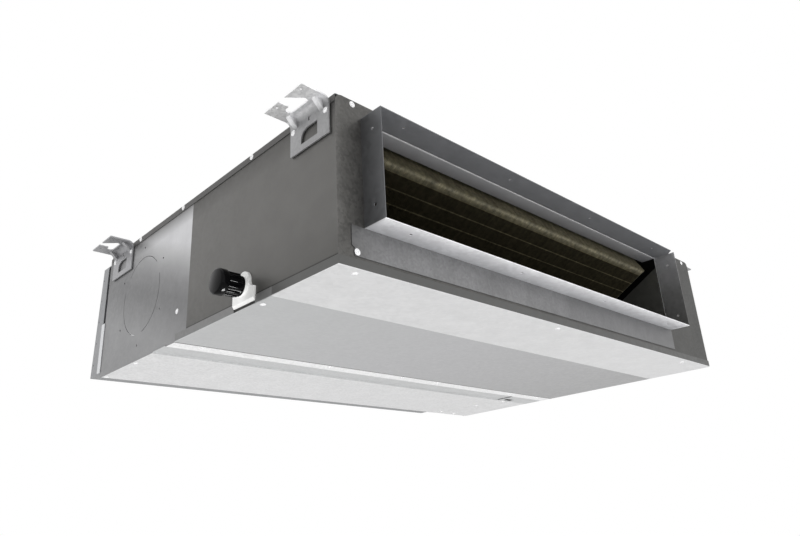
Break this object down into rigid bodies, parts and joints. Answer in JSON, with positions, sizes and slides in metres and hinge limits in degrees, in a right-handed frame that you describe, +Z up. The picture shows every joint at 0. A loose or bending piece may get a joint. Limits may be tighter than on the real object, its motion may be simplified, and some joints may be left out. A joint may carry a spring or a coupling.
{
  "type": "ducted air conditioner",
  "caption": "Slim ceiling air conditioner for ducts: galvanised casing with flanged air outlet, leaning finned coil, blowers, drain outlet with plug, filter and hanger brackets.",
  "frame": {"origin": "centre of the casing's underside", "axes": "+X to the right seen from the air outlet, +Y from the air outlet to the air inlet, +Z up"},
  "size_m": [1.241, 0.8868, 0.2698],
  "materials": {
    "black_plastic": "glossy moulded plastic",
    "board": "circuit board",
    "brass_nut": "machined brass",
    "copper": "bare copper",
    "dark_plastic": "moulded plastic",
    "filter_net": "woven net",
    "fins": "hydrophilic gold-coated aluminium fins",
    "foam": "moulded foam",
    "foam_dark": "closed-cell foam",
    "motor_paint": "painted steel",
    "screw_zinc": "zinc-plated",
    "shaft_steel": "ground steel",
    "white_plastic": "moulded plastic",
    "zinc_bright": "bright galvanised sheet with a faint spangle",
    "zinc_grey": "smooth grey galvanised sheet",
    "zinc_shade": "galvanised sheet"
  },
  "bodies": {
    "casing": {"blower_scroll_left": "dark_plastic", "blower_scroll_right": "dark_plastic", "bottom_front_panel": "zinc_bright", "bottom_right_strip": "zinc_bright", "bracket_screws": "screw_zinc", "casing_screws": "screw_zinc", "coil_end_plate_left": "zinc_shade", "coil_end_plate_right": "zinc_shade", "coil_fins": "fins", "coil_header": "copper", "coil_return_bends": "copper", "control_board": "board", "control_box": "zinc_shade", "control_cover": "zinc_bright", "drain_outlet": "white_plastic", "drain_pan": "foam", "drain_pan_cover": "zinc_grey", "fan_access_panel": "zinc_bright", "fan_deck": "zinc_shade", "fan_motor": "motor_paint", "filter_guides": "zinc_shade", "front_panel": "zinc_shade", "gas_flare_nut": "brass_nut", "gas_pipe": "copper", "hanger_bracket_front_left": "zinc_grey", "hanger_bracket_front_right": "zinc_grey", "hanger_bracket_rear_left": "zinc_grey", "hanger_bracket_rear_right": "zinc_grey", "inlet_flange_bottom": "zinc_bright", "inlet_flange_left": "zinc_bright", "inlet_flange_right": "zinc_bright", "inlet_flange_top": "zinc_bright", "left_rear_panel": "zinc_grey", "left_side_panel": "zinc_shade", "liquid_flare_nut": "brass_nut", "liquid_pipe": "copper", "lower_front_strip": "zinc_shade", "motor_bearings": "shaft_steel", "motor_plate": "zinc_shade", "motor_straps": "zinc_shade", "outlet_flange_bottom": "zinc_shade", "outlet_flange_left": "zinc_shade", "outlet_flange_right": "zinc_shade", "outlet_flange_top": "zinc_shade", "outlet_guide_plate": "zinc_shade", "pipe_plate": "zinc_bright", "rear_panel": "zinc_shade", "right_rear_panel": "zinc_grey", "right_side_panel": "zinc_grey", "run_capacitor": "dark_plastic", "terminal_block": "dark_plastic", "top_insulation": "foam_dark", "top_panel": "zinc_grey"},
    "fan_rotor": {"fan_shaft": "shaft_steel", "motor_rotor": "shaft_steel", "blower_wheel_left": "dark_plastic", "blower_wheel_right": "dark_plastic"},
    "air_filter": {"filter_frame": "dark_plastic", "filter_mesh": "filter_net"},
    "drain_plug": {"drain_plug": "black_plastic"}
  },
  "joints": [
    {"name": "fan_spin", "type": "hinge", "parent": "casing", "child": "fan_rotor", "pos_m": [0, 0.23, 0.128], "axis": [1, 0, 0], "continuous": true},
    {"name": "filter_slide", "type": "slide", "parent": "casing", "child": "air_filter", "axis": [-1, 0, 0], "range_m": [0, 0.98]},
    {"name": "plug_slide", "type": "slide", "parent": "casing", "child": "drain_plug", "axis": [-1, 0, 0], "range_m": [0, 0.045]}
  ]
}
